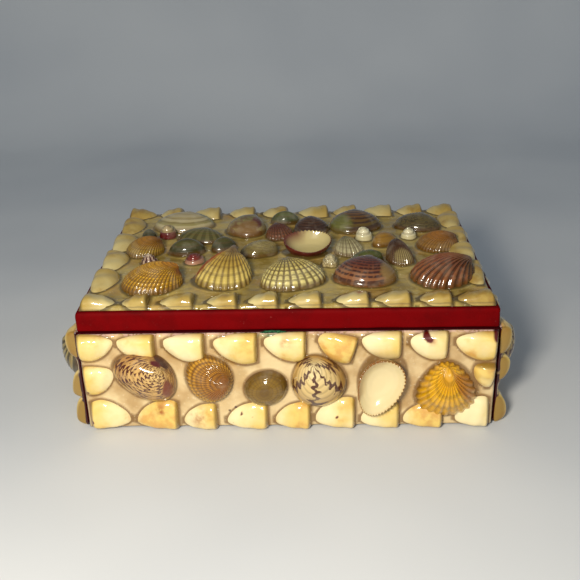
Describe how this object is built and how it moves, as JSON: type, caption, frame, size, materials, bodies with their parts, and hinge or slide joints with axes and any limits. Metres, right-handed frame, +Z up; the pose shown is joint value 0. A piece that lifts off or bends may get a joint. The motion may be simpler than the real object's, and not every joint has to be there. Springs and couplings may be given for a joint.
{
  "type": "shell box",
  "caption": "Rectangular lidded trinket box, hollow, with a lift-off lid; its sides and top are covered in varnished half shells set in putty, above a red covered rim.",
  "frame": {"origin": "middle of the box's flat underside", "axes": "+X along the long side, to the right seen from the front; +Y from the front to the back; +Z up"},
  "size_m": [0.1732, 0.1211, 0.0597],
  "materials": {
    "red_covering": "deep red flock paper over thin wood, slightly worn",
    "green_cloth": "dark green fuzzy cloth scrap",
    "putty_and_border_shells": "cream shells in tan putty under clear gloss varnish",
    "snail_shell": "small glossy snail shells",
    "ribbed_shell": "ribbed yellow, cream and brown shells under gloss varnish",
    "smooth_shell": "cream and brown patterned clam shells under gloss varnish"
  },
  "bodies": {
    "root": {"back_brown_clam": "smooth_shell", "back_cream_cockle": "ribbed_shell", "back_orange_scallop": "ribbed_shell", "back_shell_bed": "putty_and_border_shells", "back_yellow_cockle": "ribbed_shell", "back_zigzag_clam": "smooth_shell", "box_body": "red_covering", "front_ochre_cockle": "ribbed_shell", "front_open_cockle": "ribbed_shell", "front_shell_bed": "putty_and_border_shells", "front_small_limpet": "smooth_shell", "front_speckled_clam": "smooth_shell", "front_striped_clam": "smooth_shell", "front_yellow_scallop": "ribbed_shell", "green_pull_tab": "green_cloth", "left_brown_clam": "smooth_shell", "left_ribbed_cockle": "ribbed_shell", "left_shell_bed": "putty_and_border_shells", "left_zigzag_clam": "smooth_shell", "lid": "red_covering", "lid_amber_clam": "smooth_shell", "lid_banded_snail": "snail_shell", "lid_bead_snail": "snail_shell", "lid_beaded_cockle": "ribbed_shell", "lid_bronze_clam": "smooth_shell", "lid_dotted_snail": "snail_shell", "lid_fan_cockle": "ribbed_shell", "lid_glassy_clam": "smooth_shell", "lid_grey_limpet": "smooth_shell", "lid_grey_scallop": "ribbed_shell", "lid_lattice_cockle": "ribbed_shell", "lid_lined_clam": "smooth_shell", "lid_moss_limpet": "smooth_shell", "lid_mossy_clam": "smooth_shell", "lid_mottled_clam": "smooth_shell", "lid_olive_chip": "smooth_shell", "lid_olive_clam": "smooth_shell", "lid_open_cockle": "ribbed_shell", "lid_orange_cockle": "ribbed_shell", "lid_pale_clam": "smooth_shell", "lid_pink_snail": "snail_shell", "lid_purple_clam": "smooth_shell", "lid_red_cockle": "ribbed_shell", "lid_ring_snail": "snail_shell", "lid_shell_bed": "putty_and_border_shells", "lid_small_scallop": "ribbed_shell", "lid_tan_clam": "smooth_shell", "lid_umber_clam": "smooth_shell", "lid_white_snail": "snail_shell", "lid_yellow_cockle": "ribbed_shell", "lid_zigzag_clam": "smooth_shell", "right_brown_clam": "smooth_shell", "right_ribbed_cockle": "ribbed_shell", "right_shell_bed": "putty_and_border_shells", "right_zigzag_clam": "smooth_shell"}
  },
  "joints": []
}
